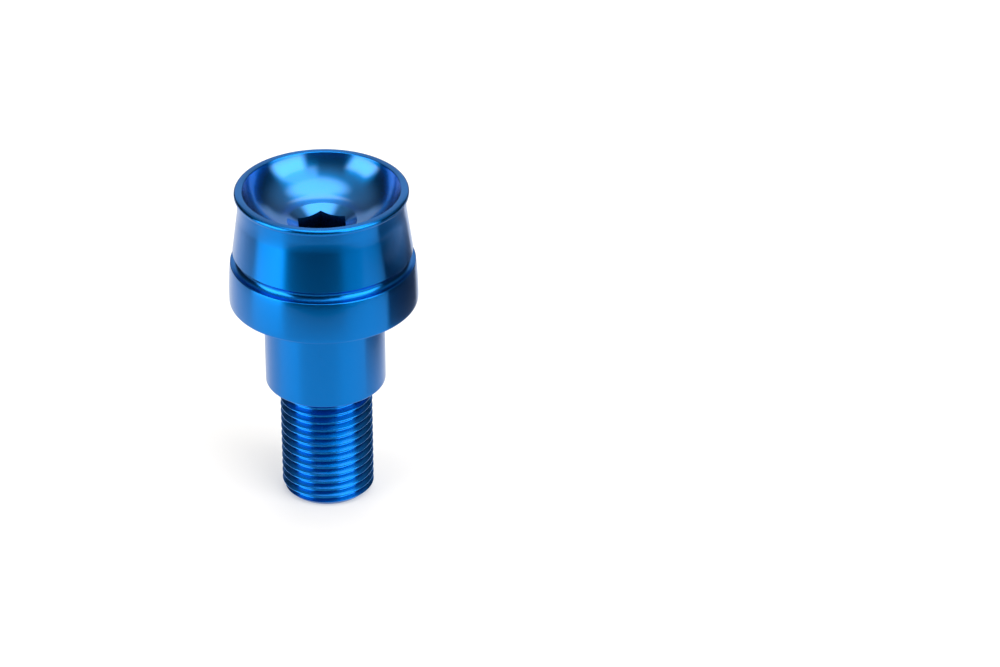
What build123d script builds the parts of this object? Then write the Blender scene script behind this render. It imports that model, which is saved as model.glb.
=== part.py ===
"""Bar end weight for a motorcycle handlebar, turned in one piece from aluminium bar.

The part stands on its threaded end, which is z = 0, and its axis is +Z.
From the bottom up it has a threaded shank, a plain spigot that centres it in the
handlebar, a skirt that covers the end of the grip, a narrow round groove, and
a tapered head with a dished face and a hexagon socket for tightening it.
The fine thread, M16 x 1.5, is left plain: its shank is the cylinder of the crests.
All sizes are in millimetres, and every radius is measured from the axis.
"""
import math
import os

from build123d import *

# Thread: the crests of an external M16 x 1.5, with a chamfered start
THREAD_RADIUS = 7.975
THREAD_LENGTH = 21.65
THREAD_CHAMFER = 1.1

# Spigot: the plain cylinder above the thread
SPIGOT_RADIUS = 10.35
SPIGOT_LENGTH = 16.05
SPIGOT_CHAMFER = 0.35

# Skirt: the widest band, very slightly barrelled
SKIRT_BOTTOM_RADIUS = 16.15
SKIRT_TOP_RADIUS = 15.8
SKIRT_HEIGHT = 7.5
SKIRT_BARREL = 0.18
SKIRT_BARREL_SHARE = 0.7
SKIRT_BOTTOM_CHAMFER = 0.3
SKIRT_TOP_CHAMFER = 0.2

# Groove: turned between the skirt and the head with a round-nosed tool
GROOVE_WIDTH = 1.9
GROOVE_RADIUS = 14.5

# Head: a cone that narrows to a short neck under the lip
HEAD_HEIGHT = 11.4
HEAD_BOTTOM_RADIUS = 15.35
NECK_RADIUS = 14.28
NECK_HEIGHT = 2.6
NECK_BLEND = 14.0

# Lip: a narrow bead around the face
LIP_RADIUS = 14.8
LIP_HEIGHT = 1.0
LIP_CHAMFER = 0.3

# Face: a flat rim, a concave dish, a narrow land and a countersink
RIM_INNER_RADIUS = 13.4
DISH_DEPTH = 5.85
DISH_SAG = 1.35
LAND_OUTER_RADIUS = 6.8
LAND_INNER_RADIUS = 5.93
LAND_SLOPE = 6.0
COUNTERSINK_ANGLE = 120.0

# Hexagon socket, clocked a little off the front
SOCKET_ACROSS_FLATS = 8.0
SOCKET_DEPTH = 7.5
SOCKET_CLOCKING = 5.4
PILOT_RADIUS = 3.7
PILOT_POINT_ANGLE = 118.0

# Heights of the shoulders above the threaded end
SPIGOT_BASE = THREAD_LENGTH
SKIRT_BASE = SPIGOT_BASE + SPIGOT_LENGTH
GROOVE_BASE = SKIRT_BASE + SKIRT_HEIGHT
HEAD_BASE = GROOVE_BASE + GROOVE_WIDTH
FACE = HEAD_BASE + HEAD_HEIGHT
DISH_FLOOR = FACE - DISH_DEPTH

# How far the socket's tool runs past the surfaces that it meets
OVERRUN = 0.5


def sloped(radius_from, radius_to, slope):
    """Height gained between two radii on a surface that slopes by so many degrees."""
    return (radius_to - radius_from) * math.tan(math.radians(slope))


def turned_outline():
    """Half of the turned section, from the threaded end up and over the face to the axis."""
    skirt_middle = (SKIRT_BOTTOM_RADIUS + SKIRT_TOP_RADIUS) / 2 + SKIRT_BARREL
    barrel_round = SKIRT_BARREL_SHARE * (SKIRT_HEIGHT / 2) ** 2 / SKIRT_BARREL
    shank = FilletPolyline(
        (0, 0),
        (THREAD_RADIUS, 0),
        (THREAD_RADIUS, SPIGOT_BASE),
        (SPIGOT_RADIUS, SPIGOT_BASE),
        (SPIGOT_RADIUS, SKIRT_BASE),
        (SKIRT_BOTTOM_RADIUS, SKIRT_BASE),
        (skirt_middle, SKIRT_BASE + SKIRT_HEIGHT / 2),
        (SKIRT_TOP_RADIUS, GROOVE_BASE),
        (GROOVE_RADIUS + GROOVE_WIDTH / 2, GROOVE_BASE),
        radius=[0, 0, 0, 0, 0, barrel_round, 0],
    )
    groove = ThreePointArc(
        (GROOVE_RADIUS + GROOVE_WIDTH / 2, GROOVE_BASE),
        (GROOVE_RADIUS, GROOVE_BASE + GROOVE_WIDTH / 2),
        (HEAD_BOTTOM_RADIUS, HEAD_BASE),
    )
    bead_base = FACE - LIP_HEIGHT
    head = FilletPolyline(
        (HEAD_BOTTOM_RADIUS, HEAD_BASE),
        (NECK_RADIUS, bead_base - NECK_HEIGHT),
        (NECK_RADIUS, bead_base),
        (LIP_RADIUS, bead_base),
        (LIP_RADIUS, FACE),
        (RIM_INNER_RADIUS, FACE),
        radius=[NECK_BLEND, 0, 0, 0],
    )
    land_top = DISH_FLOOR + sloped(LAND_INNER_RADIUS, LAND_OUTER_RADIUS, LAND_SLOPE)
    tip = DISH_FLOOR - LAND_INNER_RADIUS / math.tan(math.radians(COUNTERSINK_ANGLE / 2))
    dish = SagittaArc((RIM_INNER_RADIUS, FACE), (LAND_OUTER_RADIUS, land_top), DISH_SAG)
    seat = Polyline(
        (LAND_OUTER_RADIUS, land_top), (LAND_INNER_RADIUS, DISH_FLOOR), (0, tip), (0, 0),
    )
    return make_face(Curve() + [*shank.edges(), groove, *head.edges(), dish, *seat.edges()])


def turned_body():
    """Everything that is turned, as one revolved solid with its edges broken."""
    outline = turned_outline()
    edge_breaks = [
        ((THREAD_RADIUS, 0), THREAD_CHAMFER),
        ((SPIGOT_RADIUS, SPIGOT_BASE), SPIGOT_CHAMFER),
        ((SKIRT_BOTTOM_RADIUS, SKIRT_BASE), SKIRT_BOTTOM_CHAMFER),
        ((SKIRT_TOP_RADIUS, GROOVE_BASE), SKIRT_TOP_CHAMFER),
        ((LIP_RADIUS, FACE - LIP_HEIGHT), LIP_CHAMFER),
        ((LIP_RADIUS, FACE), LIP_CHAMFER),
    ]
    for corner, size in edge_breaks:
        outline = chamfer(outline.vertices().sort_by_distance(corner)[0], size)
    return revolve(Plane.XZ * outline, Axis.Z)


def socket():
    """The tool space of the hexagon socket, with the drill point of its pilot hole."""
    floor = DISH_FLOOR - SOCKET_DEPTH
    hexagon = RegularPolygon(
        SOCKET_ACROSS_FLATS / 2, 6, major_radius=False, rotation=30 + SOCKET_CLOCKING
    )
    broach = extrude(Pos(0, 0, floor) * hexagon, FACE + OVERRUN - floor)
    point_height = PILOT_RADIUS / math.tan(math.radians(PILOT_POINT_ANGLE / 2))
    point = make_face(Polyline(
        (0, floor + OVERRUN), (PILOT_RADIUS, floor + OVERRUN), (PILOT_RADIUS, floor),
        (0, floor - point_height), close=True,
    ))
    return broach + revolve(Plane.XZ * point, Axis.Z)


part = turned_body() - socket()
os.makedirs("parts", exist_ok=True)
export_step(part, "parts/bar_end.step")
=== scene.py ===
"""Studio scene of a bar end weight for a motorcycle handlebar.

The part is turned from one aluminium bar and anodised blue. It stands on its
threaded end, on a pale table between two softboxes and under a third one.
The object's sizes are in millimetres and Blender's are in metres.
"""
import enum
import logging
import math
from dataclasses import dataclass, field

import bmesh
import bpy
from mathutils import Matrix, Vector

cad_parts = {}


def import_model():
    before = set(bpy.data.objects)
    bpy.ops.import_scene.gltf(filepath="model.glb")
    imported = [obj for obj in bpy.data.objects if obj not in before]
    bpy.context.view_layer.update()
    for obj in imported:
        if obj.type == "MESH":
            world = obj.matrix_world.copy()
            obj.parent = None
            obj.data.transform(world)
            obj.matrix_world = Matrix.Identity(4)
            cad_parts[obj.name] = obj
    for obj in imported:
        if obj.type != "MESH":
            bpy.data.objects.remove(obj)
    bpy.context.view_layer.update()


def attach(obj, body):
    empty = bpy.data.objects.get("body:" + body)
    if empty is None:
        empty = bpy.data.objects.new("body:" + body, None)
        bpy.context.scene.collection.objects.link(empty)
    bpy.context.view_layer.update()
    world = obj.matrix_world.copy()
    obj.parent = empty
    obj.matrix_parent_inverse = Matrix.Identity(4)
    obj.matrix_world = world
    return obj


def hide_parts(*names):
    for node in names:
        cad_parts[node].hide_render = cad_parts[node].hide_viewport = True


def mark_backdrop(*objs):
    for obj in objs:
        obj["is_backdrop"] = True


MM = 0.001
BODY = "root"
NODE = "bar_end"
SLOT = "anodised_aluminium"
LOG = logging.getLogger("bar_end_scene")


def deselect_everything() -> None:
    """Leaves no object selected, so that an operator acts only on what is chosen next."""
    bpy.ops.object.select_all(action="DESELECT")


def make_active(piece: bpy.types.Object) -> None:
    """Selects one object alone and makes it the active one.

    Args:
        piece: The object that the next operators work on.
    """
    deselect_everything()
    piece.select_set(True)
    bpy.context.view_layer.objects.active = piece


def apply_modifier(piece: bpy.types.Object, kind: str, **settings: object) -> None:
    """Adds a modifier with its settings and applies it.

    Args:
        piece: The object that gets the modifier.
        kind: The modifier's type, as Blender names it.
        **settings: Values for the modifier's properties.
    """
    make_active(piece)
    modifier = piece.modifiers.new(kind.lower(), kind)
    for name, value in settings.items():
        setattr(modifier, name, value)
    bpy.ops.object.modifier_apply(modifier=modifier.name)


def combine(piece: bpy.types.Object, tool: bpy.types.Object, operation: str) -> None:
    """Cuts, joins or intersects a piece with a tool solid and removes the tool.

    Args:
        piece: The solid that is kept.
        tool: The solid that is used up.
        operation: DIFFERENCE, UNION or INTERSECT.
    """
    apply_modifier(piece, "BOOLEAN", object=tool, operation=operation, solver="EXACT")
    bpy.data.objects.remove(tool)


@dataclass(frozen=True)
class Corner:
    """A corner of a turned outline.

    Attributes:
        radius: Distance from the axis, in millimetres.
        height: Height above the threaded end, in millimetres.
        blend: Radius of the round on the corner, in millimetres; 0 leaves it sharp.
        steps: Number of straight pieces that the round has.
    """

    radius: float
    height: float
    blend: float = 0.0
    steps: int = 6

    def place(self) -> Vector:
        """The corner's place in the XZ plane, in metres."""
        return Vector((self.radius, 0.0, self.height)) * MM


@dataclass(frozen=True)
class Hollow(Corner):
    """A corner that a concave arc leads up to.

    Attributes:
        sagitta: Depth of the arc below its chord, in millimetres.
        arc_steps: Number of straight pieces that the arc has.
    """

    sagitta: float = 0.0
    arc_steps: int = 32


class Outline:
    """A half section that is drawn as a wire in the XZ plane and then turned about Z."""

    def __init__(self, name: str, corners: list[Corner]) -> None:
        """Draws the wire through its corners and rounds them.

        Args:
            name: Name of the object that holds the wire.
            corners: The corners in their order along the wire.
        """
        deselect_everything()
        bpy.ops.mesh.primitive_plane_add(size=MM, location=(0, 0, 0))
        self.piece = bpy.context.object
        self.piece.name = self.piece.data.name = name
        bpy.ops.object.mode_set(mode="EDIT")
        bpy.ops.mesh.merge(type="CENTER")
        bpy.ops.transform.translate(value=corners[0].place())
        for last, corner in zip(corners, corners[1:]):
            if isinstance(corner, Hollow):
                self._arc(last, corner)
            else:
                self._line(last, corner)
        for corner in corners[1:-1]:
            if corner.blend:
                self._round(corner)
        bpy.ops.object.mode_set(mode="OBJECT")

    def _line(self, last: Corner, corner: Corner) -> None:
        """Extrudes the wire's end straight to the next corner."""
        step = corner.place() - last.place()
        bpy.ops.mesh.extrude_vertices_move(TRANSFORM_OT_translate={"value": step})

    def _arc(self, last: Corner, corner: Hollow) -> None:
        """Spins the wire's end along an arc that sags into the solid, left of the way along."""
        start, end = last.place(), corner.place()
        chord = end - start
        sag = corner.sagitta * MM
        radius = (chord.length_squared / 4 + sag * sag) / (2 * sag)
        outward = Vector((chord.z, 0.0, -chord.x)).normalized()
        centre = (start + end) / 2 + outward * (radius - sag)
        angle = 4 * math.atan(2 * sag / chord.length)
        axis = (end - centre).cross(start - centre).normalized()
        bpy.ops.mesh.spin(steps=corner.arc_steps, angle=angle, center=centre, axis=axis)

    def _round(self, corner: Corner) -> None:
        """Replaces a sharp corner by a round that is tangent to both sides."""
        mesh = bmesh.from_edit_mesh(self.piece.data)
        bpy.ops.mesh.select_all(action="DESELECT")
        vertex = min(mesh.verts, key=lambda v: (v.co - corner.place()).length)
        before, after = (edge.other_vert(vertex).co - vertex.co for edge in vertex.link_edges)
        turn = math.pi - before.angle(after)
        vertex.select_set(True)
        bmesh.update_edit_mesh(self.piece.data)
        bpy.ops.mesh.bevel(
            offset=corner.blend * MM * math.tan(turn / 2), segments=corner.steps,
            affect="VERTICES", clamp_overlap=False,
        )

    def turn(self, segments: int) -> bpy.types.Object:
        """Spins the wire once round the Z axis and closes it into a solid.

        Args:
            segments: Number of facets round the axis.

        Returns:
            The turned solid.
        """
        make_active(self.piece)
        bpy.ops.object.mode_set(mode="EDIT")
        bpy.ops.mesh.select_all(action="SELECT")
        bpy.ops.mesh.spin(steps=segments, angle=math.tau, center=(0, 0, 0), axis=(0, 0, 1))
        self._close()
        return self.piece

    def _close(self) -> None:
        """Merges the seam and the poles, turns the faces outwards and leaves edit mode."""
        bpy.ops.mesh.select_all(action="SELECT")
        bpy.ops.mesh.remove_doubles(threshold=0.0005 * MM)
        bpy.ops.mesh.normals_make_consistent(inside=False)
        bpy.ops.object.mode_set(mode="OBJECT")


@dataclass
class TurnedBody:
    """The spigot, skirt, groove, head, lip and dished face, in millimetres.

    The heights are measured from the threaded end, and the radii from the axis.
    """

    segments: int = 256
    spigot_base: float = 21.65
    spigot_radius: float = 10.35
    skirt_base: float = 37.7
    skirt_bottom_radius: float = 16.15
    skirt_top_radius: float = 15.8
    skirt_height: float = 7.5
    skirt_barrel: float = 0.18
    skirt_barrel_round: float = 54.7
    groove_width: float = 1.9
    groove_radius: float = 14.5
    head_height: float = 11.4
    head_bottom_radius: float = 15.35
    neck_radius: float = 14.28
    neck_height: float = 2.6
    neck_blend: float = 14.0
    lip_radius: float = 14.8
    lip_height: float = 1.0
    lip_round: float = 0.46
    lip_steps: int = 8
    rim_inner_radius: float = 13.4
    dish_depth: float = 5.85
    dish_sagitta: float = 1.35
    land_outer_radius: float = 6.8
    land_inner_radius: float = 5.93
    land_slope: float = 6.0
    countersink_angle: float = 120.0
    rim_round: float = 0.15
    spigot_round: float = 0.4
    skirt_round: float = 0.28
    fine_round: float = 0.18
    burr_round: float = 0.08
    burr_steps: int = 3
    long_steps: int = 10
    groove_steps: int = 24

    @property
    def groove_base(self) -> float:
        """Height of the skirt's top edge."""
        return self.skirt_base + self.skirt_height

    @property
    def head_base(self) -> float:
        """Height of the head's bottom edge."""
        return self.groove_base + self.groove_width

    @property
    def face(self) -> float:
        """Height of the flat rim round the dish."""
        return self.head_base + self.head_height

    @property
    def dish_floor(self) -> float:
        """Height of the inner edge of the land round the socket."""
        return self.face - self.dish_depth

    def corners(self) -> list[Corner]:
        """Lists the half section's corners, from the spigot's end up and over the face.

        Returns:
            The corners, which start and end on the axis.
        """
        barrel_radius = (self.skirt_bottom_radius + self.skirt_top_radius) / 2 + self.skirt_barrel
        groove_edge = self.groove_radius + self.groove_width / 2
        groove_sagitta = (groove_edge + self.head_bottom_radius) / 2 - self.groove_radius
        bead_base = self.face - self.lip_height
        land_width = self.land_outer_radius - self.land_inner_radius
        land_top = self.dish_floor + land_width * math.tan(math.radians(self.land_slope))
        countersink = self.land_inner_radius / math.tan(math.radians(self.countersink_angle / 2))
        return [
            Corner(0, self.spigot_base),
            Corner(self.spigot_radius, self.spigot_base, self.spigot_round),
            Corner(self.spigot_radius, self.skirt_base, self.fine_round),
            Corner(self.skirt_bottom_radius, self.skirt_base, self.skirt_round),
            Corner(barrel_radius, self.skirt_base + self.skirt_height / 2,
                   self.skirt_barrel_round, self.long_steps),
            Corner(self.skirt_top_radius, self.groove_base, self.fine_round),
            Corner(groove_edge, self.groove_base, self.burr_round, self.burr_steps),
            Hollow(self.head_bottom_radius, self.head_base, self.burr_round, self.burr_steps,
                   sagitta=groove_sagitta, arc_steps=self.groove_steps),
            Corner(self.neck_radius, bead_base - self.neck_height, self.neck_blend,
                   self.long_steps),
            Corner(self.neck_radius, bead_base, self.fine_round),
            Corner(self.lip_radius, bead_base, self.lip_round, self.lip_steps),
            Corner(self.lip_radius, self.face, self.lip_round, self.lip_steps),
            Corner(self.rim_inner_radius, self.face, self.rim_round),
            Hollow(self.land_outer_radius, land_top, self.fine_round,
                   sagitta=self.dish_sagitta),
            Corner(self.land_inner_radius, self.dish_floor, self.fine_round),
            Corner(0, self.dish_floor - countersink),
        ]

    def build(self) -> bpy.types.Object:
        """Turns the body.

        Returns:
            The solid, without its socket and its thread.
        """
        return Outline("turned_body", self.corners()).turn(self.segments)


@dataclass
class HexSocket:
    """The hexagon socket with the point of its pilot drill, in millimetres."""

    across_flats: float = 8.0
    depth: float = 7.5
    clocking: float = 5.4
    pilot_radius: float = 3.7
    pilot_point_angle: float = 118.0
    pilot_height: float = 1.0
    pilot_facets: int = 64
    overrun: float = 8.0

    def cut(self, body: TurnedBody, piece: bpy.types.Object) -> None:
        """Cuts the socket into the middle of the dished face.

        Args:
            body: The sizes of the turned body.
            piece: The solid that is cut.
        """
        floor = body.dish_floor - self.depth
        length = self.depth + self.overrun
        deselect_everything()
        bpy.ops.mesh.primitive_cylinder_add(
            vertices=6, radius=self.across_flats / math.sqrt(3) * MM, depth=length * MM,
            location=(0, 0, (floor + length / 2) * MM),
            rotation=(0, 0, math.radians(self.clocking)),
        )
        bpy.ops.object.transform_apply(location=True, rotation=True, scale=True)
        combine(piece, bpy.context.object, "DIFFERENCE")
        point = self.pilot_radius / math.tan(math.radians(self.pilot_point_angle / 2))
        drill = Outline("pilot_drill", [
            Corner(0, floor - point), Corner(self.pilot_radius, floor),
            Corner(self.pilot_radius, floor + self.pilot_height), Corner(0, floor + self.pilot_height),
        ]).turn(self.pilot_facets)
        combine(piece, drill, "DIFFERENCE")


@dataclass
class Thread:
    """The external thread M16 x 1.5, in millimetres.

    Its flanks would meet in a sharp edge. The profile is 17/24 as deep as that sharp
    one, and its flat root is 1/6 of the pitch wide.
    """

    radius: float = 7.975
    pitch: float = 1.5
    flank_angle: float = 30.0
    depth_share: float = 17 / 24
    root_share: float = 1 / 6
    chamfer: float = 1.1
    start_angle: float = -60.0
    crest_round: float = 0.15
    root_round: float = 0.16
    end_round: float = 0.1
    round_steps: int = 3
    segments: int = 96
    blank_segments: int = 128
    spare_turns: int = 2
    margin: float = 1.0

    def profile(self, base: float) -> list[Corner]:
        """Lists the corners of one pitch of the profile, from root middle to root middle.

        Args:
            base: Height of the profile's lower end.

        Returns:
            The corners in millimetres.
        """
        flank = math.tan(math.radians(self.flank_angle))
        root = self.radius - self.pitch / 2 / flank * self.depth_share
        half_root = self.pitch * self.root_share / 2
        half_crest = self.pitch / 2 - half_root - (self.radius - root) * flank
        middle = base + self.pitch / 2
        return [
            Corner(root, base),
            Corner(root, base + half_root, self.root_round, self.round_steps),
            Corner(self.radius, middle - half_crest, self.crest_round, self.round_steps),
            Corner(self.radius, middle + half_crest, self.crest_round, self.round_steps),
            Corner(root, base + self.pitch - half_root, self.root_round, self.round_steps),
            Corner(root, base + self.pitch),
        ]

    def build(self, length: float) -> bpy.types.Object:
        """Screws the profile up the axis and cuts the rod to its length.

        Args:
            length: Length of the rod, from z = 0.

        Returns:
            The threaded rod as a closed solid, chamfered at its lower end.
        """
        turns = math.ceil(length / self.pitch) + 2 * self.spare_turns
        base = -self.spare_turns * self.pitch - self.start_angle / 360 * self.pitch
        piece = Outline("thread", self.profile(base)).piece
        apply_modifier(
            piece, "SCREW", axis="Z", angle=math.tau, screw_offset=self.pitch * MM,
            iterations=turns, steps=self.segments, render_steps=self.segments,
        )
        bpy.ops.object.mode_set(mode="EDIT")
        bpy.ops.mesh.select_all(action="SELECT")
        bpy.ops.mesh.remove_doubles(threshold=0.001 * MM)
        bpy.ops.object.mode_set(mode="OBJECT")
        self._trim(piece, -self.margin / 2, below=True)
        self._trim(piece, length, below=False)
        bpy.ops.object.mode_set(mode="EDIT")
        bpy.ops.mesh.select_all(action="SELECT")
        bpy.ops.mesh.normals_make_consistent(inside=False)
        bpy.ops.object.mode_set(mode="OBJECT")
        outside = self.radius + self.margin
        blank = Outline("thread_blank", [
            Corner(0, 0), Corner(self.radius - self.chamfer, 0, self.end_round, self.round_steps),
            Corner(outside, outside - self.radius + self.chamfer),
            Corner(outside, length + self.margin), Corner(0, length + self.margin),
        ]).turn(self.blank_segments)
        combine(piece, blank, "INTERSECT")
        return piece

    def _trim(self, piece: bpy.types.Object, height: float, below: bool) -> None:
        """Cuts the screwed surface off at one height and closes it with a flat face.

        Args:
            piece: The screwed surface.
            height: Height of the cut, in millimetres.
            below: Whether the stretch below the cut goes, and not the one above it.
        """
        make_active(piece)
        bpy.ops.object.mode_set(mode="EDIT")
        bpy.ops.mesh.select_all(action="SELECT")
        bpy.ops.mesh.bisect(
            plane_co=(0, 0, height * MM), plane_no=(0, 0, 1), use_fill=True,
            clear_inner=below, clear_outer=not below, threshold=0.0001 * MM,
        )
        bpy.ops.object.mode_set(mode="OBJECT")


class Value:
    """A number socket of a node tree, which takes part in Python expressions."""

    def __init__(self, tree: "NodeTree", socket: bpy.types.NodeSocket) -> None:
        """Wraps a socket.

        Args:
            tree: The builder of the tree that the socket is in.
            socket: The output socket.
        """
        self.tree = tree
        self.socket = socket

    def _math(self, operation: str, *operands: "Value | float") -> "Value":
        """Adds a Math node on the given operands."""
        links = dict(enumerate(operands))
        return self.tree.node("ShaderNodeMath", {"operation": operation}, links)

    def __add__(self, other: "Value | float") -> "Value":
        """Sum of two values."""
        return self._math("ADD", self, other)

    def __radd__(self, other: float) -> "Value":
        """Sum of a number and a value."""
        return self._math("ADD", other, self)

    def __sub__(self, other: "Value | float") -> "Value":
        """Difference of two values."""
        return self._math("SUBTRACT", self, other)

    def __rsub__(self, other: float) -> "Value":
        """Difference of a number and a value."""
        return self._math("SUBTRACT", other, self)

    def __mul__(self, other: "Value | float") -> "Value":
        """Product of two values."""
        return self._math("MULTIPLY", self, other)

    def __rmul__(self, other: float) -> "Value":
        """Product of a number and a value."""
        return self._math("MULTIPLY", other, self)

    def __neg__(self) -> "Value":
        """The value with its sign turned."""
        return self._math("MULTIPLY", self, -1.0)

    def __abs__(self) -> "Value":
        """The value without its sign."""
        return self._math("ABSOLUTE", self)

    def power(self, exponent: float) -> "Value":
        """The value raised to a power."""
        return self._math("POWER", self, exponent)

    def angle_from(self, other: "Value") -> "Value":
        """The angle in degrees whose tangent is this value over the other one."""
        return self._math("ARCTAN2", self, other) * math.degrees(1)

    def arcsine(self) -> "Value":
        """The angle in degrees whose sine is this value."""
        return self._math("ARCSINE", self) * math.degrees(1)

    def larger(self, other: "Value | float") -> "Value":
        """The larger of two values."""
        return self._math("MAXIMUM", self, other)

    def rise(self, low: float, high: float) -> "Value":
        """Smooth step of the value, from 0 at one place to 1 at another.

        Args:
            low: Where the step starts.
            high: Where the step ends; below low for a step that falls.

        Returns:
            The step as a value from 0 to 1.
        """
        settings = {"interpolation_type": "SMOOTHSTEP"}
        return self.tree.node("ShaderNodeMapRange", settings, {0: self, 1: low, 2: high})


class NodeTree:
    """Builds one node tree, of a material or of the world."""

    def __init__(self, owner: bpy.types.Material | bpy.types.World) -> None:
        """Empties the owner's node tree.

        Args:
            owner: The material or world whose nodes are made.
        """
        owner.use_nodes = True
        self.tree = owner.node_tree
        self.tree.nodes.clear()

    def node(
        self,
        kind: str,
        settings: dict[str, object] | None = None,
        sockets: dict[str | int, object] | None = None,
        output: str | int = 0,
    ) -> Value:
        """Adds a node, makes its settings and then fills its input sockets.

        Args:
            kind: The node's type.
            settings: Values for the node's properties.
            sockets: Numbers, colours or links for its inputs, by name or place.
            output: Name or place of the output that is returned.

        Returns:
            The chosen output.
        """
        made = self.tree.nodes.new(kind)
        for name, value in (settings or {}).items():
            setattr(made, name, value)
        for key, value in (sockets or {}).items():
            if isinstance(value, Value):
                self.tree.links.new(value.socket, made.inputs[key])
            else:
                made.inputs[key].default_value = value
        outputs = made.outputs
        return Value(self, outputs[output]) if len(outputs) else Value(self, None)

    def split(self, vector: Value) -> tuple[Value, Value, Value]:
        """Splits a vector into its three numbers.

        Args:
            vector: The vector.

        Returns:
            The X, Y and Z values.
        """
        made = self.tree.nodes.new("ShaderNodeSeparateXYZ")
        self.tree.links.new(vector.socket, made.inputs[0])
        return tuple(Value(self, socket) for socket in made.outputs)

    def mix_colours(self, share: Value | float, first: object, second: object) -> Value:
        """Mixes two colours.

        Args:
            share: Share of the second colour.
            first: The colour or link at share 0.
            second: The colour or link at share 1.

        Returns:
            The mixed colour.
        """
        sockets = {0: share, 6: first, 7: second}
        return self.node("ShaderNodeMix", {"data_type": "RGBA"}, sockets, 2)


@dataclass(frozen=True)
class AnodisedAluminium:
    """Blue anodised aluminium with the fine rings that turning leaves, and painted shade in the
    socket.

    Attributes:
        colour: Reflected colour of the dyed metal, face on.
        roughness: Roughness of the dyed metal.
        stretch: How far the turning rings draw highlights out along the axis.
        layer_weight: Share of the clear oxide layer's own reflection.
        layer_ior: Refractive index of the clear oxide layer.
        layer_roughness: Roughness of the oxide layer.
        ring_spacing: Mean spacing of the turning rings, in millimetres.
        ring_depth: Depth of the relief in the bump, in millimetres.
        ring_share: Share of the relief that the rings have; the grain has the rest.
        ring_roughness: How far the roughness differs from ring to ring.
        grain_scale: Number of grains per metre.
        painted_socket_shade: Painted shade, a dark colour for the shade on the socket's walls.
        socket_radius: Radius that the socket's walls stay inside, in millimetres.
        socket_bottom: Height just under the socket, in millimetres.
        socket_top: Height where the socket's walls end, in millimetres.
        dish_colour: Reflected colour of the dyed metal in the dish, which is polished.
        dish_layer_weight: Share of the oxide layer's own reflection in the dish.
        dish_radius: Radius that the dish stays inside, in millimetres.
        dish_bottom: Height just under the dish, in millimetres.
        soft_side: How wide the change is at the radii above, in millimetres.
        soft_bottom: How high the change is at the bottoms above, in millimetres.
        soft_top: How high the change is at the socket's top, in millimetres.
    """

    colour: tuple[float, float, float] = (0.0, 0.152, 0.5)
    roughness: float = 0.24
    stretch: float = 0.9
    layer_weight: float = 0.14
    layer_ior: float = 1.5
    layer_roughness: float = 0.1
    ring_spacing: float = 0.16
    ring_depth: float = 0.0004
    ring_share: float = 0.8
    ring_roughness: float = 0.05
    grain_scale: float = 9000.0
    # Painted shade: the dark colour that the socket's walls get for the shade in the recess.
    painted_socket_shade: tuple[float, float, float] = (0.0, 0.04, 0.15)
    socket_radius: float = 4.7
    socket_bottom: float = 40.0
    socket_top: float = 51.9
    dish_colour: tuple[float, float, float] = (0.0, 0.16, 0.46)
    dish_layer_weight: float = 0.8
    dish_radius: float = 13.3
    dish_bottom: float = 51.0
    soft_side: float = 0.1
    soft_bottom: float = 1.0
    soft_top: float = 1.5

    def make(self) -> bpy.types.Material:
        """Builds the material.

        Returns:
            The material, named for its slot.
        """
        material = bpy.data.materials.new(SLOT)
        tree = NodeTree(material)
        place = tree.node("ShaderNodeTexCoord", output="Object")
        x, y, z = tree.split(place)
        radius = (x * x + y * y).power(0.5)
        along = (z + radius) * (1 / (self.ring_spacing * MM))
        rings = tree.node(
            "ShaderNodeTexNoise", {"noise_dimensions": "1D"},
            {"W": along, "Scale": 1.0, "Detail": 2.0, "Roughness": 0.6}, 0,
        )
        grain = tree.node(
            "ShaderNodeTexNoise", {"noise_dimensions": "3D"},
            {"Vector": place, "Scale": self.grain_scale, "Detail": 1.0}, 0,
        )
        relief = rings * self.ring_share + grain * (1 - self.ring_share)
        bump = tree.node(
            "ShaderNodeBump", None,
            {"Strength": 1.0, "Distance": self.ring_depth * MM, "Height": relief},
        )
        # Painted shade: this mask darkens the socket's walls to stand in for the shade in the recess.
        inside = (
            radius.rise((self.socket_radius + self.soft_side) * MM, self.socket_radius * MM)
            * z.rise(self.socket_bottom * MM, (self.socket_bottom + self.soft_bottom) * MM)
            * z.rise(self.socket_top * MM, (self.socket_top - self.soft_top) * MM)
        )
        dish = (
            radius.rise((self.dish_radius + self.soft_side) * MM, self.dish_radius * MM)
            * z.rise(self.dish_bottom * MM, (self.dish_bottom + self.soft_bottom) * MM)
        )
        layer = dish * (self.dish_layer_weight - self.layer_weight) + self.layer_weight
        turned = tree.mix_colours(dish, (*self.colour, 1.0), (*self.dish_colour, 1.0))
        # The socket's walls take the painted shade colour.
        colour = tree.mix_colours(inside, turned, (*self.painted_socket_shade, 1.0))
        shader = tree.node("ShaderNodeBsdfPrincipled", None, {
            "Base Color": colour,
            "Metallic": 1.0,
            "Roughness": self.roughness + (rings - 0.5) * self.ring_roughness,
            "Anisotropic": self.stretch,
            "Anisotropic Rotation": 0.25,
            "Coat Weight": layer,
            "Coat IOR": self.layer_ior,
            "Coat Roughness": self.layer_roughness,
            "Normal": bump,
        })
        tree.node("ShaderNodeOutputMaterial", None, {"Surface": shader})
        return material


class Shade(enum.Enum):
    """Brightness of the studio's surfaces, where 1 is white."""

    DARK = 0.05
    FILL = 0.48
    BACKDROP = 0.95
    RIGHT_TOP = 2.5
    BACK_TOP = 3.6
    OVERHEAD = 3.6
    SOFTBOX = 4.5


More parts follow.
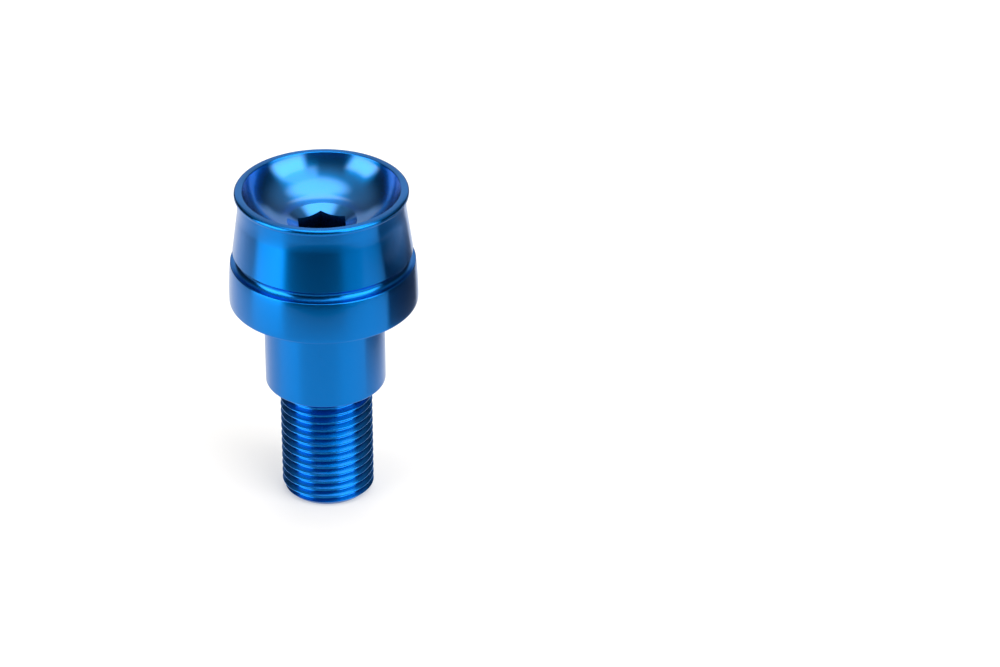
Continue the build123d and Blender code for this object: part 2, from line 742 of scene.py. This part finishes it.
@dataclass(frozen=True)
class Softbox:
    """A lit window of the studio, by its directions from the part, in degrees.

    Attributes:
        azimuth: Middle of the window at elevation 0, from the front (0) to the right (90).
        half_width: Half of its width.
        low: Elevation of its lower edge.
        high: Elevation of its upper edge.
        side_blur: Width of its soft left and right edges.
        end_blur: Height of its soft upper and lower edges.
        shade: How bright it is.
        slant: How far its middle moves to the right for each degree of elevation.
    """

    azimuth: float
    half_width: float
    low: float
    high: float
    side_blur: float
    end_blur: float
    shade: float
    slant: float = 0.0

    def light(self, azimuth: Value, elevation: Value) -> Value:
        """The window's light in each direction.

        Args:
            azimuth: The direction's azimuth in degrees.
            elevation: The direction's elevation in degrees.

        Returns:
            The brightness as a value.
        """
        off = abs(azimuth - elevation * self.slant - self.azimuth)
        across = off.rise(self.half_width + self.side_blur / 2, self.half_width - self.side_blur / 2)
        above = elevation.rise(self.low - self.end_blur / 2, self.low + self.end_blur / 2)
        below = elevation.rise(self.high + self.end_blur / 2, self.high - self.end_blur / 2)
        return across * above * below * self.shade


@dataclass
class Studio:
    """The light round the part, the pale table that it stands on, and the camera.

    Lengths are in millimetres and angles in degrees. Each pair of angles gives where a
    light is still out and where it is full.
    """

    table_front: float = -120.0
    table_back: float = 900.0
    table_side: float = 170.0
    table_colour: tuple[float, float, float] = (0.87, 0.85, 0.82)
    table_glow: float = 0.35
    left: Softbox = Softbox(-66, 21, -13, 36, 11, 12, Shade.SOFTBOX.value, 0.22)
    right: Softbox = Softbox(52, 25, 4, 42, 14, 8, Shade.SOFTBOX.value)
    right_top: Softbox = Softbox(45, 36, 36, 72, 18, 12, Shade.RIGHT_TOP.value)
    fill_rise: tuple[float, float] = (22.0, 52.0)
    overhead_rise: tuple[float, float] = (54.0, 72.0)
    overhead_lean: float = 4.0
    overhead_side: float = 110.0
    back_top_side: tuple[float, float] = (26.0, 12.0)
    back_top_rise: tuple[float, float] = (42.0, 54.0)
    backdrop_side: tuple[float, float] = (45.0, 25.0)
    backdrop_foot: tuple[float, float] = (6.0, 16.0)
    backdrop_top: tuple[float, float] = (36.0, 29.0)
    card_height: float = 32.0
    card_front: tuple[float, float] = (68.0, -16.0)
    card_back: tuple[float, float] = (42.0, 55.0)
    card_colour: tuple[float, float, float] = (0.07, 0.08, 0.1)
    camera_place: tuple[float, float, float] = (30.06, -625.5, 398.06)
    camera_tilt: float = 59.55
    camera_sensor: float = 36.0
    camera_lens: float = 152.175

    def light(self) -> None:
        """Makes the world: softboxes for what the metal shows, and plain white for the camera."""
        world = bpy.data.worlds.new("studio")
        bpy.context.scene.world = world
        tree = NodeTree(world)
        x, y, z = tree.split(tree.node("ShaderNodeTexCoord", output="Generated"))
        azimuth = x.angle_from(-y)
        elevation = z.arcsine()
        behind = 180.0 - abs(azimuth)
        fill_above_dark = Shade.FILL.value - Shade.DARK.value
        fill = elevation.rise(*self.fill_rise) * fill_above_dark + Shade.DARK.value
        lean, side = math.radians(self.overhead_lean), math.radians(self.overhead_side)
        upward = (
            x * (math.sin(lean) * math.sin(side)) - y * (math.sin(lean) * math.cos(side))
            + z * math.cos(lean)
        )
        overhead = upward.arcsine().rise(*self.overhead_rise) * Shade.OVERHEAD.value
        back_top = behind.rise(*self.back_top_side) * elevation.rise(*self.back_top_rise)
        backdrop = (
            behind.rise(*self.backdrop_side) * elevation.rise(*self.backdrop_foot)
            * elevation.rise(*self.backdrop_top)
        )
        light = fill.larger(overhead)
        light = light.larger(back_top * Shade.BACK_TOP.value)
        light = light.larger(backdrop * Shade.BACKDROP.value)
        for box in (self.left, self.right, self.right_top):
            light = light.larger(box.light(azimuth, elevation))
        camera_ray = tree.node("ShaderNodeLightPath", output="Is Camera Ray")
        shown = light + (1.0 - light) * camera_ray
        background = tree.node(
            "ShaderNodeBackground", None, {"Color": (1, 1, 1, 1), "Strength": shown},
        )
        tree.node("ShaderNodeOutputWorld", None, {"Surface": background})

    def table(self) -> bpy.types.Object:
        """Lays the table that the part stands on.

        Returns:
            Nothing; the table is marked as part of the stage.
        """
        deselect_everything()
        depth = self.table_back - self.table_front
        middle = (self.table_back + self.table_front) / 2
        bpy.ops.mesh.primitive_plane_add(size=1.0, location=(0, middle * MM, 0))
        top = bpy.context.object
        top.name = top.data.name = "table_top"
        top.scale = (2 * self.table_side * MM, depth * MM, 1.0)
        bpy.ops.object.transform_apply(location=True, rotation=True, scale=True)
        material = bpy.data.materials.new("pale_table")
        tree = NodeTree(material)
        cloth = tree.node("ShaderNodeBsdfPrincipled", None, {
            "Base Color": (*self.table_colour, 1.0), "Roughness": 0.9, "Specular IOR Level": 0.0,
        })
        white = tree.node("ShaderNodeEmission", None, {"Strength": 1.0})
        shown = tree.node("ShaderNodeLightPath", output="Is Camera Ray")
        for ray in ("Is Glossy Ray", "Is Transmission Ray"):
            shown = shown.larger(tree.node("ShaderNodeLightPath", output=ray))
        glow = shown * self.table_glow
        shader = tree.node("ShaderNodeMixShader", None, {0: glow, 1: cloth, 2: white})
        tree.node("ShaderNodeOutputMaterial", None, {"Surface": shader})
        top.data.materials.append(material)
        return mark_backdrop(top)

    def card(self) -> bpy.types.Object:
        """Stands a dark card on the right, which only the metal's reflections show.

        Returns:
            Nothing; the card is marked as part of the stage.
        """
        deselect_everything()
        front, back = Vector((*self.card_front, 0.0)) * MM, Vector((*self.card_back, 0.0)) * MM
        bpy.ops.mesh.primitive_plane_add(size=MM, location=(0, 0, 0))
        card = bpy.context.object
        card.name = card.data.name = "dark_card"
        bpy.ops.object.mode_set(mode="EDIT")
        bpy.ops.mesh.merge(type="CENTER")
        bpy.ops.transform.translate(value=front)
        bpy.ops.mesh.extrude_vertices_move(TRANSFORM_OT_translate={"value": back - front})
        bpy.ops.mesh.select_all(action="SELECT")
        bpy.ops.mesh.extrude_edges_move(
            TRANSFORM_OT_translate={"value": (0.0, 0.0, self.card_height * MM)},
        )
        bpy.ops.object.mode_set(mode="OBJECT")
        card.visible_camera = card.visible_diffuse = card.visible_shadow = False
        material = bpy.data.materials.new("dark_card")
        tree = NodeTree(material)
        shader = tree.node("ShaderNodeBsdfDiffuse", None, {"Color": (*self.card_colour, 1.0)})
        tree.node("ShaderNodeOutputMaterial", None, {"Surface": shader})
        card.data.materials.append(material)
        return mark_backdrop(card)

    def camera(self) -> bpy.types.Object:
        """Sets the camera at the photograph's viewing angle.

        Returns:
            The camera.
        """
        deselect_everything()
        bpy.ops.object.camera_add(
            location=Vector(self.camera_place) * MM,
            rotation=(math.radians(self.camera_tilt), 0.0, 0.0),
        )
        camera = bpy.context.object
        camera.data.sensor_width = self.camera_sensor
        camera.data.lens = self.camera_lens
        bpy.context.scene.camera = camera
        return camera


@dataclass
class BarEnd:
    """The whole part: the turned body, its socket and its thread, as one piece."""

    body: TurnedBody = field(default_factory=TurnedBody)
    socket: HexSocket = field(default_factory=HexSocket)
    thread: Thread = field(default_factory=Thread)
    finish: AnodisedAluminium = AnodisedAluminium()
    thread_overlap: float = 0.4
    sharp_angle: float = 32.0

    def build(self) -> bpy.types.Object:
        """Builds the part and dresses it.

        Returns:
            The finished piece, riding on its body.
        """
        piece = self.body.build()
        self.socket.cut(self.body, piece)
        rod = self.thread.build(self.body.spigot_base + self.thread_overlap)
        combine(piece, rod, "UNION")
        piece.name = piece.data.name = "bar_end_weight"
        make_active(piece)
        bpy.ops.object.shade_smooth_by_angle(angle=math.radians(self.sharp_angle))
        apply_modifier(piece, "WEIGHTED_NORMAL", mode="FACE_AREA", weight=50, keep_sharp=True)
        piece.data.materials.clear()
        piece.data.materials.append(self.finish.make())
        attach(piece, BODY)
        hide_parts(NODE)
        return piece


def main() -> None:
    """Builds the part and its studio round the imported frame."""
    logging.basicConfig(level=logging.INFO, format="%(name)s: %(message)s")
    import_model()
    scene = bpy.context.scene
    scene.view_settings.view_transform = "Standard"
    studio = Studio()
    studio.camera()
    studio.light()
    studio.table()
    studio.card()
    piece = BarEnd().build()
    LOG.info("%s has %d faces", piece.name, len(piece.data.polygons))


if __name__ == "__main__":
    main()
